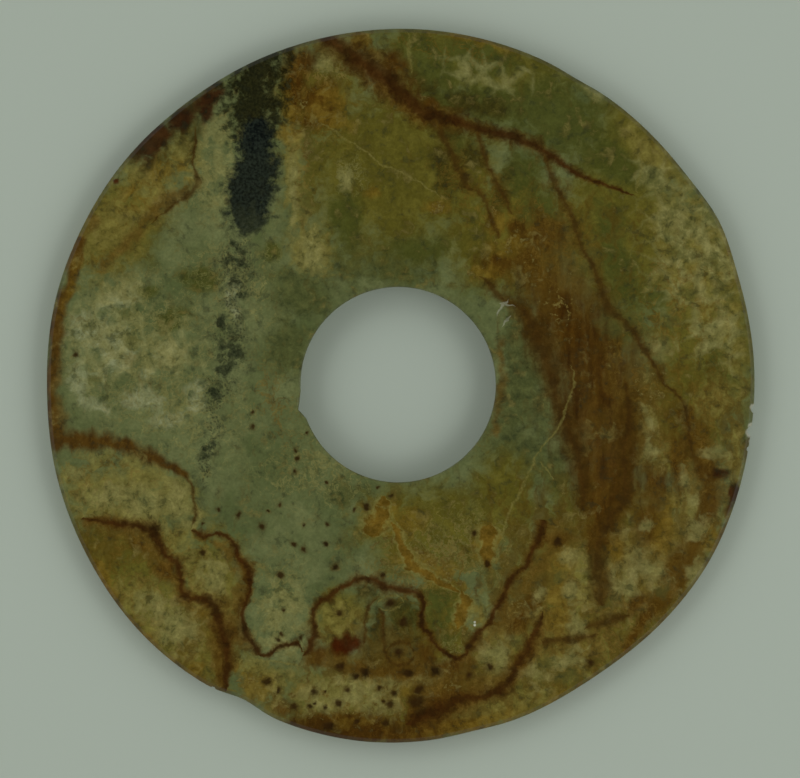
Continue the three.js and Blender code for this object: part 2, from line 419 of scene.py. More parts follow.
DEEP_BROWN_BANDS = {
    "left edge of the skin": [
        (506, 298, 5), (526, 320, 8), (542, 346, 11), (552, 370, 12), (560, 400, 9), (572, 430, 9),
        (584, 470, 7), (588, 510, 6)],
    "right column": [
        (626, 410, 6), (627, 450, 7), (624, 490, 8), (606, 524, 8), (598, 560, 7), (600, 600, 5)],
    "lower rim": [(392, 728, 6), (416, 716, 10), (432, 706, 11), (446, 698, 7)],
    "along the bottom": [(296, 726, 6), (340, 732, 11), (378, 736, 8)],
    "middle": [(560, 300, 8), (576, 330, 9), (590, 350, 10), (600, 372, 9), (603, 400, 6)],
    "right rim": [(684, 440, 7), (694, 460, 6), (704, 478, 5)],
}
GLOW_BANDS = {
    "under the lower left vein": [
        (84, 526, 6), (112, 528, 8), (140, 534, 7), (156, 552, 7), (170, 572, 7), (180, 592, 6),
        (200, 612, 6)],
    "left of the loop": [
        (216, 541, 4), (229, 550, 6), (238, 566, 7), (243, 584, 8), (240, 602, 8), (236, 622, 6),
        (244, 642, 5)],
    "beside the column": [(214, 620, 4), (215, 640, 5), (216, 665, 5), (218, 684, 5)],
    "lower edge of the skin": [
        (550, 524, 8), (546, 545, 8), (536, 566, 7), (522, 582, 8), (512, 602, 8), (500, 622, 8),
        (484, 642, 7), (470, 660, 5)],
    "above the lower rim": [
        (545, 620, 6), (534, 648, 7), (520, 674, 7), (500, 682, 6), (470, 690, 7), (448, 700, 7),
        (424, 712, 6)],
    "under the arch": [(306, 658, 6), (330, 664, 8), (360, 668, 8), (392, 670, 8), (430, 672, 7)],
    "along the upper left skin": [
        (186, 190, 4), (166, 202, 6), (145, 220, 5), (124, 246, 6), (100, 268, 5)],
    "along the main vein": [(352, 62, 6), (378, 84, 7), (404, 104, 6), (424, 124, 5)],
    "lower left rim": [
        (96, 560, 5), (106, 590, 6), (124, 616, 5), (150, 646, 5), (180, 672, 6), (206, 690, 6)],
    "lower right rim": [
        (730, 520, 5), (716, 560, 6), (694, 596, 6), (660, 636, 5), (620, 668, 5), (570, 700, 5)],
    "rim at the left": [
        (96, 216, 4), (84, 236, 5), (72, 262, 5), (62, 300, 6), (58, 340, 5), (56, 380, 5), (58, 430, 6)],
    "round the bore": [(503, 340, 4), (504, 372, 4), (502, 404, 4), (494, 434, 4)],
}

OCHRE_PATCHES = {
    "upper left skin": [(172, 172, 16, 12, 25), (136, 196, 12, 9, 40), (98, 262, 12, 6, 30)],
    "rim": [
        (472, 42, 34, 4, -10), (357, 43, 13, 7, -30), (150, 640, 44, 6, -42), (192, 668, 8, 6),
        (252, 686, 22, 13, -30), (715, 530, 8, 8), (708, 547, 8, 8), (105, 575, 6, 22, 25),
        (70, 288, 4, 22, -15), (470, 722, 40, 7, 12), (560, 700, 30, 5, 30)],
    "lower right": [(661, 532, 9, 26), (560, 562, 18, 12, 40), (556, 604, 11, 28), (616, 552, 9, 9)],
    "top": [(332, 100, 18, 12), (290, 122, 8, 24), (370, 190, 6, 6), (330, 120, 16, 7, -20)],
    "crumbs": [(498, 224, 11, 12, 60), (508, 244, 16, 9, 20), (432, 208, 14, 6), (486, 270, 14, 6, 10)],
    "bottom": [(200, 612, 10, 6), (350, 724, 16, 6), (300, 690, 8, 6), (402, 690, 12, 7)],
    "below the bore": [(392, 520, 26, 16), (430, 572, 32, 12, -20), (464, 616, 14, 12), (486, 545, 12, 18)],
}

PALE_PATCHES = {
    "left": [
        (216, 162, 12, 32), (120, 292, 22, 10, 20), (80, 472, 8, 6), (108, 496, 22, 10), (148, 503, 18, 11),
        (172, 352, 12, 10, 25), (148, 368, 4, 9, 30)],
    "top": [
        (460, 66, 5, 10, 10), (522, 70, 9, 5), (312, 256, 9, 18), (347, 178, 6, 10), (316, 60, 12, 6),
        (292, 186, 4, 34)],
    "right": [
        (670, 220, 12, 16, 30), (694, 322, 5, 13), (665, 347, 11, 8), (717, 326, 7, 12), (733, 328, 4, 6),
        (702, 236, 6, 18, 30), (720, 262, 5, 18, 12), (592, 95, 9, 5, -30), (700, 290, 7, 9),
        (652, 184, 10, 10), (706, 350, 12, 5, 20)],
    "lower right": [
        (568, 558, 10, 9), (568, 592, 5, 14), (538, 590, 6, 11), (638, 568, 21, 13), (618, 582, 11, 10),
        (714, 453, 15, 5), (700, 523, 9, 11), (645, 525, 5, 5), (694, 572, 7, 20, -35),
        (540, 676, 14, 9, 20), (575, 626, 9, 13), (566, 660, 18, 7, 20), (648, 444, 5, 10),
        (682, 482, 5, 9), (690, 503, 5, 5), (652, 418, 4, 11, 30)],
    "lower": [
        (280, 618, 22, 28), (178, 622, 20, 20, 20), (156, 606, 16, 11), (345, 694, 48, 15),
        (495, 655, 13, 14), (216, 572, 11, 17), (175, 505, 14, 20), (318, 694, 14, 10)],
}
CLOUD_PATCHES = {
    "left": [
        (98, 333, 26, 16, 10), (112, 350, 15, 24), (172, 352, 14, 9, 25), (120, 300, 22, 8, 20),
        (80, 380, 10, 16), (140, 400, 18, 8), (150, 372, 10, 6, 40), (92, 404, 14, 8), (170, 420, 16, 8),
        (196, 400, 7, 16, -10)],
    "middle": [(236, 300, 6, 18, 5)],
}

OLIVE_PATCHES = {
    "below the bore": [(430, 530, 70, 46), (500, 500, 34, 46), (444, 604, 26, 26)],
    "in the arch": [(336, 612, 22, 26)],
    "top": [
        (395, 170, 104, 84), (480, 60, 110, 34, -10), (320, 96, 44, 50), (505, 230, 70, 64),
        (455, 175, 40, 60, 10)],
    "right": [(620, 230, 60, 90, 20), (640, 140, 56, 46, -35), (705, 330, 54, 110), (680, 420, 50, 60)],
    "lower right": [(610, 580, 120, 100), (540, 660, 110, 60, 20)],
    "bottom": [(400, 700, 130, 44), (440, 640, 36, 36)],
    "left": [(120, 590, 90, 70, -30), (190, 640, 54, 54), (115, 225, 52, 46, 40), (215, 590, 30, 56)],
}

TAN_PATCHES = {
    "upper left skin": [
        (110, 228, 44, 32, 48), (150, 184, 36, 24, 25), (180, 156, 20, 26, 20), (136, 168, 18, 16, 40)],
    "left": [(110, 488, 62, 26), (172, 500, 26, 26), (130, 514, 50, 10)],
    "lower left": [
        (170, 624, 54, 36, -42), (212, 586, 28, 44), (130, 600, 22, 28, -30), (176, 536, 20, 20, -40),
        (258, 672, 30, 14, -25)],
    "top": [(292, 170, 9, 56), (310, 250, 20, 24)],
    "right": [(696, 262, 40, 74, 12), (730, 330, 14, 54, 8), (648, 150, 36, 14, -48), (736, 460, 8, 34)],
    "bottom": [
        (350, 696, 60, 20), (338, 618, 24, 24), (490, 704, 60, 20, 15), (432, 678, 18, 22),
        (500, 640, 26, 32)],
    "lower right": [
        (560, 640, 46, 36, 20), (640, 565, 46, 36, 30), (570, 580, 24, 46), (690, 520, 20, 44),
        (650, 430, 16, 40, 10), (716, 400, 20, 20)],
}

GREEN_PATCHES = {
    "upper right": [
        (556, 118, 66, 38, -34), (500, 106, 60, 24, -14), (428, 66, 40, 28, -20), (655, 180, 10, 10),
        (612, 162, 36, 20, -40), (480, 58, 50, 18, -14), (436, 98, 34, 14, -24)],
    "right of the third branch": [
        (616, 258, 16, 62, 18), (655, 290, 14, 28), (722, 367, 18, 26), (620, 330, 22, 22)],
    "between the branches": [(455, 140, 12, 20, 20), (520, 170, 20, 24), (540, 210, 20, 26)],
    "left": [(172, 322, 18, 12), (200, 280, 20, 11), (145, 295, 14, 6), (272, 250, 12, 10)],
    "bottom": [(450, 620, 16, 18), (438, 598, 16, 18), (402, 616, 14, 16), (590, 662, 10, 8)],
    "top": [(345, 220, 16, 30), (420, 250, 30, 12)],
}
HOLE_PATCHES = {
    "in the pale net": [
        (670, 208, 8, 9), (690, 225, 6, 9, 20), (680, 250, 9, 11), (712, 262, 6, 10), (668, 234, 5, 7),
        (715, 288, 8, 8), (690, 292, 9, 7), (670, 322, 7, 9), (655, 180, 8, 8), (706, 212, 6, 10, 30),
        (726, 300, 4, 10)],
    "in the left clouds": [(88, 328, 5, 4), (132, 340, 8, 8), (126, 314, 8, 5), (96, 376, 7, 5)],
    "in the lower right": [
        (604, 600, 8, 6), (556, 575, 5, 9), (590, 574, 6, 14), (600, 556, 7, 8), (520, 640, 7, 9),
        (548, 662, 10, 7, 30), (664, 590, 8, 6, 40), (566, 676, 12, 6, 20)],
    "in the skin": [(612, 322, 16, 14), (634, 318, 8, 10), (590, 262, 10, 14, 20)],
}
BLUE_PATCHES = {
    "round the bore": [
        (385, 265, 60, 18), (524, 385, 24, 86), (558, 478, 14, 30, 10), (520, 445, 30, 44, 20),
        (298, 294, 32, 28), (284, 345, 22, 30), (352, 492, 24, 10), (556, 458, 16, 20)],
    "left": [(200, 490, 8, 7), (150, 268, 14, 8)],
    "bottom": [
        (374, 635, 7, 22), (402, 618, 16, 22), (443, 668, 6, 8), (372, 600, 5, 8), (214, 555, 6, 8),
        (202, 538, 7, 6)],
}

CREAM_THREAD_PATCHES = {
    "left": [
        (140, 345, 84, 70), (230, 262, 50, 30, 20), (210, 170, 24, 46), (294, 190, 9, 50),
        (180, 410, 70, 56), (312, 250, 16, 26), (250, 300, 30, 40)],
    "top": [(330, 66, 24, 20), (350, 176, 14, 20)],
    "lower right": [(610, 590, 84, 70), (700, 500, 30, 60), (650, 440, 16, 46)],
    "bottom": [(430, 670, 80, 40), (180, 610, 50, 50), (280, 600, 30, 50), (110, 500, 50, 30)],
    "below the bore": [(450, 550, 80, 40), (320, 470, 60, 40)],
}
NET_PATCHES = {
    "right": [(692, 250, 44, 76, 12), (652, 176, 20, 18), (714, 326, 28, 34), (735, 335, 12, 40)],
    "left": [(112, 340, 50, 50), (172, 350, 34, 34)],
    "lower right": [(640, 565, 54, 50, 20)],
    "top": [(488, 74, 46, 15, -14)],
}
CRUMB_PATCHES = {
    "along the branches": [
        (493, 212, 10, 26, 15), (507, 243, 18, 10, 10), (530, 264, 14, 8, -20), (476, 268, 14, 7)],
    "round the main vein": [
        (424, 106, 14, 8, -30), (432, 207, 13, 6), (300, 96, 16, 52), (336, 70, 14, 12), (296, 150, 7, 34)],
    "right": [(560, 300, 30, 24), (650, 380, 26, 16, -30), (730, 262, 7, 20)],
    "lower": [
        (420, 566, 44, 20, -25), (470, 640, 20, 16), (508, 618, 12, 30, -20), (330, 650, 30, 10),
        (250, 684, 18, 9), (196, 604, 14, 8), (430, 690, 40, 16), (340, 700, 60, 24)],
}
RUST_THREAD_PATCHES = {
    "left": [(272, 400, 24, 50, 20), (140, 200, 40, 30, 45), (100, 480, 60, 40), (305, 160, 14, 56)],
    "top": [(310, 95, 44, 64), (480, 200, 66, 36, -50), (540, 236, 60, 50), (440, 50, 70, 12, -10)],
    "right": [(680, 310, 60, 90), (690, 440, 50, 80), (640, 360, 40, 60)],
    "bottom": [(400, 700, 140, 46), (590, 620, 110, 90, 20), (160, 590, 90, 80), (430, 560, 70, 50)],
}
SLANT_PATCHES = {
    "lower right": [
        (650, 560, 90, 60, 40), (580, 640, 90, 40, 35), (700, 470, 40, 70), (540, 560, 50, 50, 40)],
    "bottom": [(440, 690, 80, 30), (380, 655, 60, 28)],
    "lower left": [(114, 548, 34, 14), (210, 640, 24, 40)],
    "skin": [(560, 260, 50, 50, 30), (640, 400, 40, 60)],
}

BLACK_BANDS = {
    "mineral streak": [
        (257, 128, 10), (257, 136, 16), (256, 148, 18), (254, 165, 21), (251, 180, 22), (250, 196, 22),
        (250, 210, 19), (251, 219, 12), (252, 224, 6)],
}
SOOT_BANDS = {
    "above the streak": [
        (268, 44, 14), (256, 66, 32), (254, 84, 31), (254, 104, 28), (255, 124, 21), (256, 142, 12)],
}
DUSK_PATCHES = {
    "above the main vein": [(474, 106, 36, 11, -12), (430, 92, 18, 9, -30), (452, 122, 18, 12, -20)],
    "upper left rim": [
        (182, 116, 30, 14, 42), (194, 130, 10, 14), (160, 160, 16, 8, 30), (180, 130, 22, 14, 40),
        (200, 106, 18, 14, 40), (206, 96, 10, 18, -25), (190, 140, 7, 16)],
    "between the branches": [
        (470, 152, 14, 14), (450, 128, 20, 12, -20), (497, 196, 9, 30, -20), (562, 330, 10, 26, 10),
        (446, 176, 12, 26, 10)],
    "under the arch": [
        (400, 622, 20, 26), (398, 604, 22, 12), (470, 642, 7, 12), (390, 655, 26, 8), (374, 624, 10, 26),
        (362, 590, 9, 8)],
    "lower edge of the brown skin": [(554, 540, 18, 8, 10)],
    "top": [(300, 84, 12, 20), (318, 94, 16, 9, -20), (285, 60, 8, 18)],
    "bottom": [(414, 704, 9, 14, 20), (326, 724, 8, 8), (432, 716, 14, 5, 20)],
}
PEPPER_BANDS = {
    "below the streak": [
        (250, 222, 12), (243, 240, 20), (239, 262, 20), (240, 290, 17), (238, 318, 18), (231, 344, 20),
        (224, 370, 17), (216, 395, 12), (211, 420, 11), (209, 445, 11), (204, 470, 8), (200, 492, 6),
        (198, 505, 4)],
}
PEPPER_CLOTS = {
    "below the streak": [
        (240, 257, 7, 9), (229, 263, 5, 6), (238, 282, 5, 5), (246, 298, 6, 4, 30), (226, 350, 9, 8),
        (218, 368, 6, 7), (233, 352, 6, 4, 20), (216, 394, 6, 5), (210, 444, 6, 8), (222, 326, 5, 7),
        (205, 466, 4, 6), (236, 240, 6, 5)],
}

MAROON_PATCHES = {
    "upper left rim": [
        (152, 144, 26, 13, 42), (176, 124, 20, 10, 42), (207, 98, 18, 9, 36), (205, 116, 7, 10)],
    "right rim": [(730, 496, 4, 16, -15), (718, 474, 8, 6)],
}

# The large markings by the names that they have in the mesh: their bands and their patches.
LARGE_MARKINGS = {
    "blue": ({}, BLUE_PATCHES),
    "olive": ({}, OLIVE_PATCHES),
    "green": ({}, GREEN_PATCHES),
    "tan": ({}, TAN_PATCHES),
    "cream threads": ({}, CREAM_THREAD_PATCHES),
    "net": ({}, NET_PATCHES),
    "crumbs": ({}, CRUMB_PATCHES),
    "dusk": ({}, DUSK_PATCHES),
    "brown": (BROWN_BANDS, BROWN_PATCHES),
    "deep brown": (DEEP_BROWN_BANDS, {}),
    "glow": (GLOW_BANDS, {}),
    "slants": ({}, SLANT_PATCHES),
    "rust threads": ({}, RUST_THREAD_PATCHES),
    "ochre": ({}, OCHRE_PATCHES),
    "pale": ({}, PALE_PATCHES),
    "clouds": ({}, CLOUD_PATCHES),
    "holes": ({}, HOLE_PATCHES),
    "maroon": ({}, MAROON_PATCHES),
    "soot": (SOOT_BANDS, {}),
    "black": (BLACK_BANDS, {}),
    "pepper": (PEPPER_BANDS, {}),
    "clots": ({}, PEPPER_CLOTS),
}

# Small markings, by middle and radius: red spots, white stone where the rim is freshly chipped and in
# a fleck beside the flames, and dark spots.
RED_SPOTS = [(338, 645, 8), (346, 643, 11), (354, 642, 8), (117, 181, 3.5)]
WHITE_SPOTS = [
    (753, 407, 4), (751, 426, 4), (750, 432, 5), (751, 441, 3), (474, 621, 1.2), (474, 624, 1.4),
]
SPOTS = [
    (218, 508, 2), (238, 514, 2.5), (203, 524, 2), (262, 526, 3.5), (280, 505, 2.5), (267, 510, 1.5),
    (294, 543, 3), (304, 548, 3), (280, 574, 3.5), (303, 524, 2), (282, 633, 2), (278, 638, 2.5),
    (301, 637, 2.5), (284, 610, 1.5), (266, 681, 4.5), (278, 689, 2.5), (295, 705, 4.5), (313, 690, 4),
    (309, 705, 2.5), (314, 702, 2), (324, 706, 3), (338, 702, 3.5), (325, 689, 1.5), (348, 689, 3),
    (378, 687, 2.5), (393, 692, 3.5), (389, 704, 4), (383, 701, 2), (341, 665, 5), (364, 672, 6),
    (355, 676, 4), (338, 611, 3.5), (357, 720, 3), (385, 722, 4), (328, 725, 6), (328, 524, 2.5),
    (334, 567, 3.5), (325, 543, 2), (383, 575, 2.5), (366, 506, 4), (355, 509, 2), (379, 487, 2),
    (390, 494, 3), (473, 533, 3), (419, 688, 5), (407, 672, 5), (434, 670, 5), (469, 674, 4),
    (489, 666, 4), (295, 450, 2.5), (297, 458, 2.5), (295, 472, 2.5), (307, 431, 2), (327, 482, 1.5),
    (253, 412, 2), (253, 426, 2.5), (203, 552, 4), (403, 620, 5), (590, 662, 5), (557, 540, 4),
    (416, 700, 7), (487, 563, 4), (389, 601, 5), (469, 645, 4), (76, 355, 3), (399, 651, 4),
]

# The bands in the material end in a point: half their width there.
TIP = 0.0005 * MM

# A stretch of a path goes on while each of its steps keeps near its chord, as the cosine between them.
NEAR_CHORD = 0.35

# The mesh holds how far each point is from a large marking, up to this many times its own size.
FAR = 2.0

# How much the large markings are shaken out of shape: the size of each wave and how far it moves them.
# The seed keeps the waves the same each run.
MARKING_WAVES = ((13 * MM, 1.8 * MM), (3.0 * MM, 1.3 * MM))
noise.seed_set(7)

# Below the upper face the pattern leans over, this far by the underside, so its markings lie elsewhere.
LEAN_FROM = 4 * MM
LEAN = 12 * MM

# An edge is worn matt, and gets painted shade, where the stone turns away this much from level, as the cosine
# of its slope.
WORN_AND_SHADED_EDGE = (0.9, 0.99)

# The polish: how rough it is on the faces and on a worn edge, how much darker that edge is painted as
# shade, and the fine unevenness that a hand-held stone and grit leave.
POLISHED_ROUGHNESS = 0.23
WORN_ROUGHNESS = 0.45
EDGE_PAINTED_SHADE = 0.8
GRIT_WAVE = 1.6 * MM
GRIT_DEPTH = 0.05 * MM

# How each large marking lies on the stone, from the lowest up: the mottle that breaks its edge, how
# ragged and how soft that edge is, how much it covers at most and where its edge lies, then its two
# colours and the mottle between them. Threads, the net and crumbs show only where their mottle is at
# its lowest, so their edge lies below 0.
MARKING_LOOKS = (
    ("blue", "flock", 0.5, 0.6, 0.85, 1, "#474d28", "#5b5f33", "felt"),
    ("clouds", "flock", 0.6, 0.6, 0.85, 1, "#858a60", "#a1a47a", "felt"),
    ("olive", "flock", 0.25, 0.4, 1, 1, "#554f18", "#706828", "flock"),
    ("green", "flock", 0.3, 0.5, 0.92, 1, "#484b1b", "#575a26", "flock"),
    ("tan", "flock", 0.5, 0.6, 0.85, 1, "#6f642a", "#8b8140", "felt"),
    ("cream threads", "threads", 5, 0.6, 0.55, -3.8, "#7e7a42", "#958e56", "felt"),
    ("cream threads", "thin threads", 4, 0.7, 0.4, -3.05, "#7a7a45", "#908a54", "grain"),
    ("net", "cells", 2, 0.75, 0.62, -0.95, "#827f48", "#9e9a64", "felt"),
    ("dusk", "flock", 0.6, 0.8, 0.85, 1, "#332d10", "#4c4419", "felt"),
    ("brown", "streaks", 0.3, 0.7, 0.94, 1, "#42280a", "#5e4011", "streaks"),
    ("glow", "flock", 0.6, 0.9, 0.7, 1, "#563c10", "#6e5320", "felt"),
    ("slants", "slants", 0.9, 0.6, 0.6, 1, "#563f12", "#6e5820", "slants"),
    ("rust threads", "threads", 5, 0.6, 0.5, -3.9, "#664914", "#7d6428", "felt"),
    ("ochre", "flock", 0.8, 0.7, 0.7, 1, "#6b5214", "#846c26", "felt"),
    ("pale", "flock", 0.9, 0.8, 0.62, 1, "#7e7c46", "#9b955c", "felt"),
    ("holes", "felt", 0.5, 0.7, 0.6, 1, "#54552a", "#64632f", "felt"),
    ("deep brown", "streaks", 0.5, 0.9, 0.55, 1, "#371e06", "#4a2e0b", "streaks"),
    ("maroon", "flock", 0.3, 0.5, 0.9, 1, "#2b170b", "#41220f", "felt"),
    ("crumbs", "felt", 2.2, 0.5, 0.8, -0.75, "#7a5f22", "#968646", "grain"),
    ("soot", "felt", 0.6, 0.65, 0.93, 1, "#111006", "#27240d", "grain"),
    ("black", "felt", 0.25, 0.35, 0.96, 1, "#0f1413", "#272e27", "grain"),
    ("pepper", "felt", 1.2, 0.9, 0.35, 0.8, "#454a33", "#5a5f40", "felt"),
    ("pepper", "clusters", 1.5, 0.7, 0.6, 0.3, "#242a1a", "#3c4029", "grain"),
    ("clots", "felt", 0.7, 0.7, 0.8, 0.9, "#1e2417", "#3a3f2a", "grain"),
)


def colour(code):
    """A colour written as an sRGB hex value, as linear light."""
    parts = [int(code[i:i + 2], 16) / 255 for i in (1, 3, 5)]
    linear = [part / 12.92 if part <= 0.04045 else ((part + 0.055) / 1.055) ** 2.4 for part in parts]
    return (*linear, 1)


def add(tree, kind, sockets=None, **settings):
    """Adds a node with its settings, fills its sockets with values or links, and returns its output."""
    made = tree.nodes.new("ShaderNode" + kind)
    for name, value in settings.items():
        setattr(made, name, value)
    for name, value in (sockets or {}).items():
        if isinstance(value, bpy.types.NodeSocket):
            tree.links.new(value, made.inputs[name])
        else:
            made.inputs[name].default_value = value
    return next((output for output in made.outputs if output.enabled), None)


def on_stone(x, y):
    """The point of the stone that the photograph shows at a pixel."""
    return Vector((x - MIDDLE_PIXEL[0], MIDDLE_PIXEL[1] - y, 0)) * PIXEL


def along(tree, share, points):
    """A value that follows the points as the share runs along them."""
    curve = add(tree, "FloatCurve", {"Value": share}).node
    curve.mapping.use_clip = False
    curve.mapping.extend = "HORIZONTAL"
    marks = curve.mapping.curves[0].points
    for mark, point in zip(marks, (points[0], points[-1])):
        mark.location = point
    for point in points[1:-1]:
        marks.new(*point)
    curve.mapping.update()
    return curve.outputs[0]


def marking_place(point):
    """Where a point of the mesh is among the large markings."""
    lean = LEAN * min(max(1 - point.z / LEAN_FROM, 0), 1)
    place = Vector((point.x + lean, point.y + lean, 0))
    place += sum((noise.noise_vector(place / wave) * far for wave, far in MARKING_WAVES), Vector())
    return Vector((place.x, place.y, 0))


def oval_reaches(places, x, y, wide, high, turn=0):
    """Each point near an oval, by its number, and how far it is from the middle: 1 at the oval's edge."""
    middle = on_stone(x, y)
    upright = Matrix.Rotation(-math.radians(turn), 3, "Z")
    for place, number, _ in places.find_range(middle, FAR * max(wide, high) * PIXEL):
        away = upright @ (place - middle)
        yield number, math.hypot(away.x / wide, away.y / high) / PIXEL


def path_reaches(places, path):
    """The same for a band along a path."""
    for (x, y, half), (next_x, next_y, next_half) in zip(path, path[1:]):
        start, end = on_stone(x, y), on_stone(next_x, next_y)
        step = end - start
        around = step.length / 2 + FAR * max(half, next_half) * PIXEL
        for place, number, _ in places.find_range((start + end) / 2, around):
            share = min(max((place - start).dot(step) / step.length_squared, 0), 1)
            away = (place - start - step * share).length
            yield number, away / ((half + (next_half - half) * share) * PIXEL)


def mark_stone(mesh):
    """Writes into the mesh how far each point is from each large marking, and where edges are worn and get
    painted shade.
    """
    places = kdtree.KDTree(len(mesh.vertices))
    for vert in mesh.vertices:
        places.insert(marking_place(vert.co), vert.index)
    places.balance()
    for name, (bands, patches) in LARGE_MARKINGS.items():
        nearest = [FAR] * len(mesh.vertices)
        found = [path_reaches(places, path) for path in bands.values()]
        found += [oval_reaches(places, *oval) for ovals in patches.values() for oval in ovals]
        for number, reached in (one for reaches in found for one in reaches):
            nearest[number] = min(nearest[number], reached)
        mesh.attributes.new(name, "FLOAT", "POINT").data.foreach_set("value", nearest)
    # Where the stone turns away from level it is rougher from wear, and darker there as painted shade.
    worn = [1 - smoothstep(abs(vert.normal.z), *WORN_AND_SHADED_EDGE) for vert in mesh.vertices]
    mesh.attributes.new("worn and shaded edge", "FLOAT", "POINT").data.foreach_set("value", worn)


def stretches(path):
    """Cuts a winding path into stretches that each keep going the same way, and overlap by a step."""
    start = 0
    while start < len(path) - 2:
        end = start + 2
        while end < len(path) and keeps_going(path[start:end + 1]):
            end += 1
        yield path[start:end]
        if end == len(path):
            return
        start = max(start + 1, end - 2)


def keeps_going(path):
    points = [on_stone(x, y) for x, y, _ in path]
    chord = (points[-1] - points[0]).normalized()
    steps = [(after - before).normalized() for before, after in zip(points, points[1:])]
    return all(step.dot(chord) > NEAR_CHORD for step in steps)


def band_reach(tree, place, path):
    """How far a place is from the middle of a marking along a path: 0 in the middle, 1 at its edge."""
    points = [on_stone(x, y) for x, y, _ in path]
    chord = points[-1] - points[0]
    side = Vector((-chord.y, chord.x, 0)).normalized()
    halves = [half * PIXEL for _, _, half in path]
    levels = [point.dot(side) for point in points]
    height = max(levels) - min(levels) + 2 * max(halves)
    onward = chord / chord.length_squared
    shares = [(point - points[0]).dot(onward) for point in points]
    start = points[0].dot(onward)
    gone = add(tree, "VectorMath", {0: place, 1: onward}, operation="DOT_PRODUCT")
    share = add(tree, "Math", {0: gone, 1: start}, operation="SUBTRACT")
    level = add(tree, "VectorMath", {0: place, 1: side / height}, operation="DOT_PRODUCT")
    middle = along(tree, share, [(at, level / height) for at, level in zip(shares, levels)])
    widths = [(at, half / height) for at, half in zip(shares, halves)]
    half_width = along(tree, share, [(0, TIP / height)] + widths[1:-1] + [(1, TIP / height)])
    across = add(tree, "Math", {0: level, 1: middle}, operation="SUBTRACT")
    away = add(tree, "Math", {0: across}, operation="ABSOLUTE")
    return add(tree, "Math", {0: away, 1: half_width}, operation="DIVIDE")


def bands_reach(tree, place, bands):
    """The same for the nearest of many bands."""
    nearest = None
    for path in [stretch for path in bands.values() for stretch in stretches(path)]:
        one = band_reach(tree, place, path)
        nearest = one if nearest is None else add(tree, "Math", {0: nearest, 1: one}, operation="MINIMUM")
    return nearest


def inside(tree, reached, mottled, ragged, soft, most=1.0, edge=1.0):
    """The most well inside a marking and 0 outside it. Its edge is ragged by a mottle, and soft."""
    broken = add(tree, "Math", {0: mottled, 1: 2 * ragged, 2: reached}, operation="MULTIPLY_ADD")
    return add(tree, "MapRange", {"Value": broken, "From Min": edge + ragged + soft,
                                  "From Max": edge + ragged - soft, "To Max": most},
               interpolation_type="SMOOTHSTEP")


def stain(tree, stone, share, first, second, mottled):
    """Lays a mottle of two colours over the stone where the share says."""
    both = add(tree, "Mix", {0: mottled, 6: colour(first), 7: colour(second)}, data_type="RGBA")
    return add(tree, "Mix", {0: share, 6: stone, 7: both}, data_type="RGBA")


def mottle(tree, place, size, detail, roughness=0.6, spread=0.16):
    """Noise whose clouds are of a size, spread over the whole of 0 to 1."""
    clouds = add(tree, "TexNoise", {"Vector": place, "Scale": 1 / size, "Detail": detail,
                                    "Roughness": roughness})
    return add(tree, "MapRange", {"Value": clouds, "From Min": 0.5 - spread, "From Max": 0.5 + spread})


def shaken(tree, place, size, far):
    """A place moved up to so far this way and that, so that what is drawn there is uneven."""
    shake = add(tree, "TexNoise", {"Vector": place, "Scale": 1 / size, "Detail": 1}).node.outputs["Color"]
    centred = add(tree, "VectorMath", {0: shake, 1: (0.5, 0.5, 0.5)}, operation="SUBTRACT")
    # The noise seldom goes more than a quarter from its middle.
    scaled = add(tree, "VectorMath", {0: centred, "Scale": 4 * far}, operation="SCALE")
    return add(tree, "VectorMath", {0: place, 1: scaled}, operation="ADD")


def stone_place(tree):
    """Object coordinates. Below the upper face they lean over, as the large markings do."""
    here = add(tree, "TexCoord").node.outputs["Object"]
    height = add(tree, "SeparateXYZ", {0: here}).node.outputs[2]
    lean = add(tree, "MapRange", {"Value": height, "From Min": LEAN_FROM, "From Max": 0,
                                  "To Min": 0, "To Max": LEAN})
    return add(tree, "VectorMath", {0: here, 1: add(tree, "CombineXYZ", {0: lean, 1: lean})}, operation="ADD")


def spots_reach(tree, place, spots):
    """The same for the nearest of many round spots."""
    nearest = None
    for x, y, radius in spots:
        away = add(tree, "VectorMath", {0: place, 1: on_stone(x, y)}, operation="DISTANCE")
        one = add(tree, "Math", {0: away, 1: radius * PIXEL}, operation="DIVIDE")
        nearest = one if nearest is None else add(tree, "Math", {0: nearest, 1: one}, operation="MINIMUM")
    return nearest


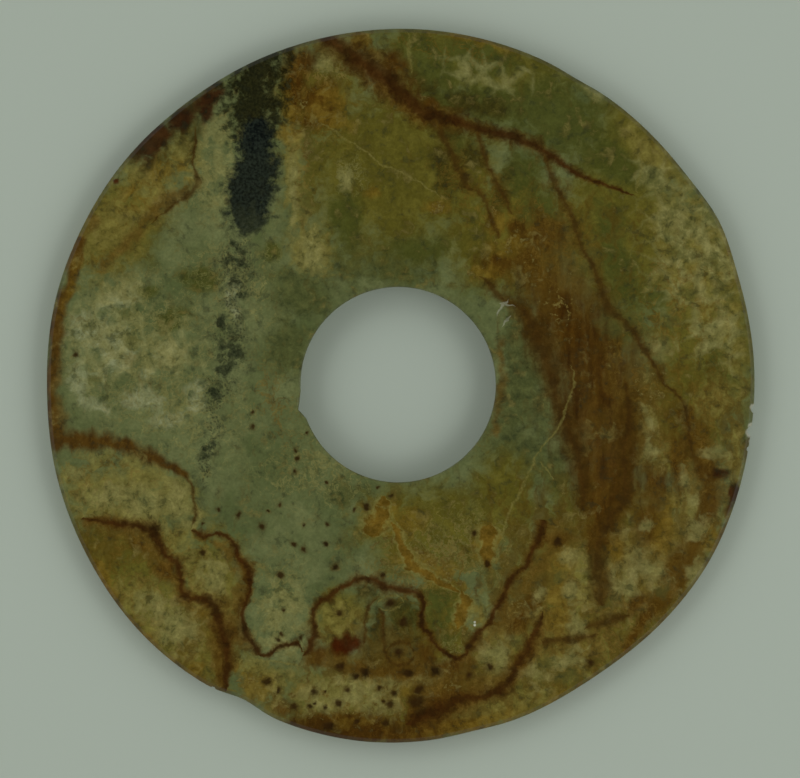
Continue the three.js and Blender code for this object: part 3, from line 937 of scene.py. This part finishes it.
def nephrite():
    """Nephrite, ground flat and polished by hand: a soft waxy gloss over a clouded, felted stone."""
    material = bpy.data.materials.new("nephrite, polished by hand")
    material.use_nodes = True
    tree = material.node_tree
    tree.nodes.clear()
    place = stone_place(tree)
    near = shaken(tree, shaken(tree, place, 5 * MM, 0.45 * MM), 1.1 * MM, 0.25 * MM)
    flat = add(tree, "VectorMath", {0: near, 1: (1, 1, 0)}, operation="MULTIPLY")
    loose = shaken(tree, near, 3.5 * MM, 1.0 * MM)

    clouds = mottle(tree, loose, 11 * MM, 3)
    flock = mottle(tree, loose, 5 * MM, 4, 0.66)
    felt = mottle(tree, near, 2.4 * MM, 3, 0.66)
    grain = mottle(tree, place, 0.7 * MM, 1, 0.6)
    upright = add(tree, "Mapping", {"Vector": near, "Rotation": (0, 0, math.radians(-10)),
                                    "Scale": (1, 0.22, 1)})
    streaks = mottle(tree, upright, 2.6 * MM, 3, 0.65)
    slanting = add(tree, "Mapping", {"Vector": loose, "Rotation": (0, 0, math.radians(38)),
                                     "Scale": (1, 0.3, 1)})
    slants = mottle(tree, slanting, 3.2 * MM, 3, 0.66)
    from_flock = add(tree, "Math", {0: flock, 1: 0.5}, operation="SUBTRACT")
    threads = add(tree, "Math", {0: from_flock}, operation="ABSOLUTE")
    from_felt = add(tree, "Math", {0: felt, 1: 0.45}, operation="SUBTRACT")
    thin_threads = add(tree, "Math", {0: from_felt}, operation="ABSOLUTE")
    cells = add(tree, "TexVoronoi", {"Vector": near, "Scale": 1 / (5.5 * MM)}, voronoi_dimensions="2D",
                feature="DISTANCE_TO_EDGE")
    dots = add(tree, "TexVoronoi", {"Vector": near, "Scale": 1 / (0.75 * MM)}, voronoi_dimensions="2D")
    clusters = add(tree, "Math", {0: flock, 1: 0.5, 2: dots}, operation="MULTIPLY_ADD")
    mottles = {"flock": flock, "felt": felt, "grain": grain, "streaks": streaks, "slants": slants,
               "threads": threads, "thin threads": thin_threads, "cells": cells, "clusters": clusters}

    marked = {name: add(tree, "Attribute", attribute_name=name).node.outputs["Fac"]
              for name in (*LARGE_MARKINGS, "worn and shaded edge")}
    stone = add(tree, "Mix", {0: clouds, 6: colour("#5c653c"), 7: colour("#767c4f")}, data_type="RGBA")
    for name, broken, ragged, soft, most, edge, first, second, mottled in MARKING_LOOKS:
        share = inside(tree, marked[name], mottles[broken], ragged, soft, most, edge)
        stone = stain(tree, stone, share, first, second, mottles[mottled])

    uneven = add(tree, "MapRange", {"Value": flock, "To Min": 0.62, "To Max": 1.25})
    soft_veins = add(tree, "Math", {0: bands_reach(tree, flat, SOFT_VEINS), 1: uneven}, operation="MULTIPLY")
    round_them = inside(tree, soft_veins, felt, 0.4, 1.0, 0.5, 1.5)
    stone = stain(tree, stone, round_them, "#4a3610", "#5d4617", felt)
    in_them = inside(tree, soft_veins, felt, 0.3, 0.7, 0.68, 0.6)
    stone = stain(tree, stone, in_them, "#3a260d", "#4f3512", flock)
    veins = add(tree, "Math", {0: bands_reach(tree, flat, VEINS), 1: uneven}, operation="MULTIPLY")
    round_them = inside(tree, veins, felt, 0.4, 0.9, 0.65, 1.6)
    stone = stain(tree, stone, round_them, "#4a300d", "#5f4214", felt)
    in_them = inside(tree, veins, felt, 0.25, 0.6, 0.86, 0.75)
    stone = stain(tree, stone, in_them, "#2a1808", "#4c2c0e", flock)

    flames = bands_reach(tree, flat, FLAMES)
    cream_edge = inside(tree, flames, felt, 0.45, 0.35, 0.6, 1.35)
    stone = stain(tree, stone, cream_edge, "#7d7638", "#8f884a", grain)
    orange = inside(tree, flames, felt, 0.4, 0.3, 0.85, 0.85)
    stone = stain(tree, stone, orange, "#62480f", "#7e5f1b", felt)
    hair = inside(tree, bands_reach(tree, flat, HAIRLINES), felt, 0.5, 0.6, 0.5, 0.75)
    stone = stain(tree, stone, hair, "#7a7034", "#8f8648", grain)

    red = inside(tree, spots_reach(tree, flat, RED_SPOTS), felt, 0.15, 0.5, 0.9)
    stone = stain(tree, stone, red, "#340f03", "#4b1a04", flock)
    spotted = spots_reach(tree, flat, SPOTS)
    round_them = inside(tree, spotted, felt, 0.3, 0.8, 0.5, 1.4)
    stone = stain(tree, stone, round_them, "#4a3310", "#4d3a14", grain)
    in_them = inside(tree, spotted, felt, 0.15, 0.45, 0.88, 0.8)
    stone = stain(tree, stone, in_them, "#241709", "#3c2810", flock)

    # The chips go right through the stone, so the white spots don't lean over.
    here = add(tree, "TexCoord").node.outputs["Object"]
    straight_down = add(tree, "VectorMath", {0: here, 1: (1, 1, 0)}, operation="MULTIPLY")
    white = inside(tree, spots_reach(tree, straight_down, WHITE_SPOTS), felt, 0.2, 0.3, 0.9)
    stone = stain(tree, stone, white, "#aaa994", "#d4d3c0", felt)
    scratched = inside(tree, bands_reach(tree, flat, SCRATCHES), felt, 0.5, 0.5, 0.6)
    stone = stain(tree, stone, scratched, "#8f9076", "#b0b098", felt)

    shade = add(tree, "MapRange", {"Value": felt, "To Min": 0.86, "To Max": 1.1})
    speckle = add(tree, "MapRange", {"Value": grain, "To Min": 0.92, "To Max": 1.06})
    fine = add(tree, "Math", {0: speckle, 1: shade}, operation="MULTIPLY")
    # Painted shade: the base colour is darkened where the stone turns away from level, on the rim and in the
    # bore.
    worn = marked["worn and shaded edge"]
    painted_edge_shade = add(tree, "MapRange", {"Value": worn, "To Min": 1, "To Max": EDGE_PAINTED_SHADE})
    value = add(tree, "Math", {0: fine, 1: painted_edge_shade}, operation="MULTIPLY")
    stone = add(tree, "VectorMath", {0: stone, "Scale": value}, operation="SCALE")

    gloss = add(tree, "MapRange", {"Value": worn, "To Min": POLISHED_ROUGHNESS, "To Max": WORN_ROUGHNESS})
    relief = add(tree, "TexNoise", {"Vector": place, "Scale": 1 / GRIT_WAVE, "Detail": 2, "Roughness": 0.55})
    bump = add(tree, "Bump", {"Height": relief, "Strength": 0.2, "Distance": GRIT_DEPTH})
    surface = add(tree, "BsdfPrincipled", {"Base Color": stone, "Roughness": gloss, "IOR": 1.61,
                                           "Specular IOR Level": 0.15, "Normal": bump})
    add(tree, "OutputMaterial", {"Surface": surface})
    return material


# How far the board goes each way, in metres.
BOARD_REACH = 3.0


def pale_board():
    """A matt pale board, slightly green, that the disc lies on."""
    material = bpy.data.materials.new("matt board")
    material.use_nodes = True
    tree = material.node_tree
    tree.nodes.clear()
    surface = add(tree, "BsdfPrincipled", {"Base Color": colour("#c3cdc1"), "Roughness": 0.9,
                                           "Specular IOR Level": 0.1})
    add(tree, "OutputMaterial", {"Surface": surface})
    return material


def floor():
    bm = bmesh.new()
    bmesh.ops.create_grid(bm, x_segments=1, y_segments=1, size=BOARD_REACH)
    mesh = bpy.data.meshes.new("board")
    bm.to_mesh(mesh)
    bm.free()
    mesh.materials.append(pale_board())
    board = bpy.data.objects.new("board", mesh)
    bpy.context.scene.collection.objects.link(board)


# Soft light: an even dome that is dark overhead, where a camera stands, and a soft box on each side of
# the disc. The one on the right is a little stronger.
DOME_LIGHT = 0.85
OVERHEAD_LIGHT = 0.005
DARK_OVERHEAD = (math.cos(math.radians(48)), math.cos(math.radians(30)))
SOFT_BOX_POWERS = (1.5, 2.1)
SOFT_BOX_AWAY = 0.9
SOFT_BOX_SHIFT = 0.25
SOFT_BOX_HEIGHT = 0.8
SOFT_BOX_SIZE = (1.2, 0.7)


def lights():
    world = bpy.data.worlds.new("soft dome")
    world.use_nodes = True
    tree = world.node_tree
    tree.nodes.clear()
    height = add(tree, "SeparateXYZ", {0: add(tree, "TexCoord").node.outputs["Generated"]}).node.outputs[2]
    dome = add(tree, "MapRange", {"Value": height, "From Min": DARK_OVERHEAD[0], "From Max": DARK_OVERHEAD[1],
                                  "To Min": DOME_LIGHT, "To Max": OVERHEAD_LIGHT},
               interpolation_type="SMOOTHSTEP")
    sky = add(tree, "Background", {"Color": colour("#fbfffa"), "Strength": dome})
    add(tree, "OutputWorld", {"Surface": sky})
    bpy.context.scene.world = world
    for side, power in zip((-1, 1), SOFT_BOX_POWERS):
        lamp = bpy.data.lights.new("soft box", "AREA")
        lamp.shape = "RECTANGLE"
        lamp.size, lamp.size_y = SOFT_BOX_SIZE
        lamp.energy = power
        box = bpy.data.objects.new("soft box", lamp)
        box.location = (side * SOFT_BOX_AWAY, -side * SOFT_BOX_SHIFT, SOFT_BOX_HEIGHT)
        box.rotation_euler = (-box.location).to_track_quat("-Z", "Y").to_euler()
        bpy.context.scene.collection.objects.link(box)


# The camera looks straight down. The photograph is 800 by 778 pixels, and its middle is a little off
# the disc's.
PHOTO_SIZE = (800, 778)
CAMERA_HEIGHT = 1.5
SENSOR_WIDTH = 36
WIDEST_HEIGHT = 2.3 * MM


def camera():
    lens = bpy.data.cameras.new("camera")
    lens.sensor_width = SENSOR_WIDTH
    lens.lens = SENSOR_WIDTH * (CAMERA_HEIGHT - WIDEST_HEIGHT) / (PHOTO_SIZE[0] * PIXEL)
    stand = bpy.data.objects.new("camera", lens)
    middle = on_stone((PHOTO_SIZE[0] - 1) / 2, (PHOTO_SIZE[1] - 1) / 2)
    stand.location = (middle.x, middle.y, CAMERA_HEIGHT)
    bpy.context.scene.collection.objects.link(stand)
    bpy.context.scene.camera = stand


bpy.context.scene.view_settings.view_transform = "Standard"
camera()
lights()
floor()

disc = jade_disc()
disc.data.materials.append(nephrite())
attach(disc, "root")
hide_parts("jade_disc")
